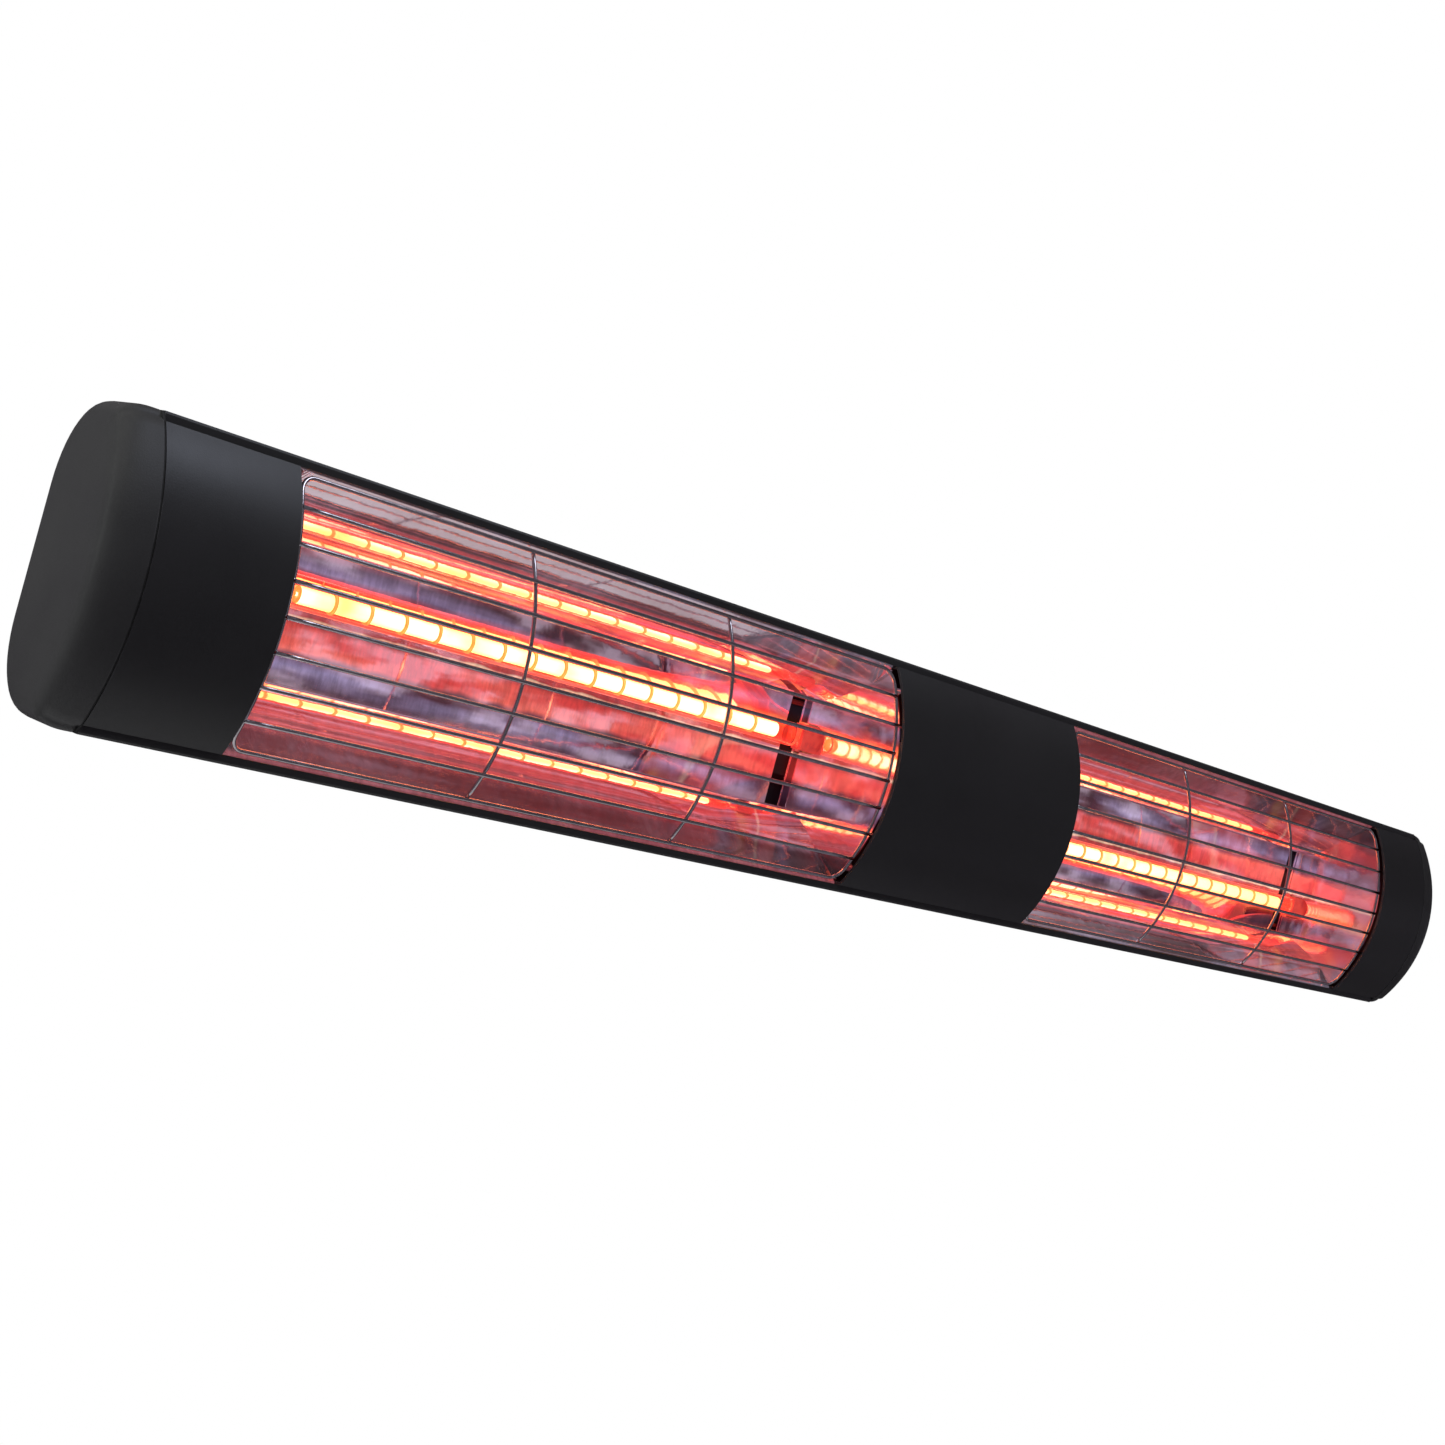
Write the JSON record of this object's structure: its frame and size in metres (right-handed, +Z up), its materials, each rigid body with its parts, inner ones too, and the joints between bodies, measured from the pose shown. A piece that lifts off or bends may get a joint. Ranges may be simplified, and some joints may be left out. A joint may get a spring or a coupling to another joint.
{
  "type": "wall-mounted infrared heat lamp warmer",
  "caption": "Long black wall-mounted infrared heater with quartz lamps in polished troughs behind chrome wire guards, on tilting wall brackets.",
  "frame": {"origin": "centre of the four wall holes, on the wall plane behind the two brackets", "axes": "+X along the heater, +Y into the wall (the glowing front faces -Y), +Z up"},
  "size_m": [1.111, 0.1414, 0.13],
  "materials": {
    "black_coat": "fine-textured satin black powder coat on aluminium",
    "mirror_aluminium": "bright anodised mirror-polished sheet",
    "guard_chrome": "bright nickel-chrome plated wire",
    "quartz": "clear quartz with a faint ruby tint",
    "hot_filament": "glowing coiled tungsten",
    "tungsten": "dark tungsten support rings",
    "steatite": "unglazed off-white steatite",
    "zinc_steel": "bright zinc-plated steel",
    "stainless": "plain stainless steel",
    "brass": "turned brass",
    "silicone": "matt black silicone",
    "black_nylon": "moulded black nylon",
    "glass_sleeve": "braided glass-fibre wire sleeve"
  },
  "bodies": {
    "wall_mount": {"pivot_bolts": "stainless", "pivot_nuts": "stainless", "pivot_washers": "stainless", "wall_bracket_left": "black_coat", "wall_bracket_right": "black_coat"},
    "heater_head": {"body_shell": "black_coat", "cap_gasket_left": "silicone", "cap_gasket_right": "silicone", "cap_screws": "stainless", "cover_centre": "black_coat", "cover_left": "black_coat", "cover_right": "black_coat", "earth_nut": "brass", "earth_stud": "brass", "earth_washer": "zinc_steel", "end_cap_left": "black_coat", "end_cap_right": "black_coat", "end_mirror_left_inner": "mirror_aluminium", "end_mirror_left_outer": "mirror_aluminium", "end_mirror_right_inner": "mirror_aluminium", "end_mirror_right_outer": "mirror_aluminium", "filament_left": "hot_filament", "filament_right": "hot_filament", "filament_rings_left": "tungsten", "filament_rings_right": "tungsten", "gland_body": "black_nylon", "gland_dome_nut": "black_nylon", "gland_locknut": "black_nylon", "guard_left": "guard_chrome", "guard_right": "guard_chrome", "holder_foot_left_inner": "zinc_steel", "holder_foot_left_outer": "zinc_steel", "holder_foot_right_inner": "zinc_steel", "holder_foot_right_outer": "zinc_steel", "holder_screws": "zinc_steel", "lamp_bases_left": "steatite", "lamp_bases_right": "steatite", "lamp_holder_left_inner": "steatite", "lamp_holder_left_outer": "steatite", "lamp_holder_right_inner": "steatite", "lamp_holder_right_outer": "steatite", "lamp_leads_left": "glass_sleeve", "lamp_leads_right": "glass_sleeve", "lamp_tube_left": "quartz", "lamp_tube_right": "quartz", "plate_screws": "zinc_steel", "reflector_left": "mirror_aluminium", "reflector_right": "mirror_aluminium", "swivel_lug_left": "black_coat", "swivel_lug_right": "black_coat", "t_bolt_nuts": "stainless", "t_bolts": "stainless", "terminal_block": "steatite", "terminal_screws": "zinc_steel", "terminal_sleeves": "brass", "wiring_plate": "zinc_steel"}
  },
  "joints": [
    {"name": "tilt", "type": "hinge", "parent": "wall_mount", "child": "heater_head", "pos_m": [0, -0.04, 0], "axis": [1, 0, 0], "range_deg": [-15, 45]}
  ]
}
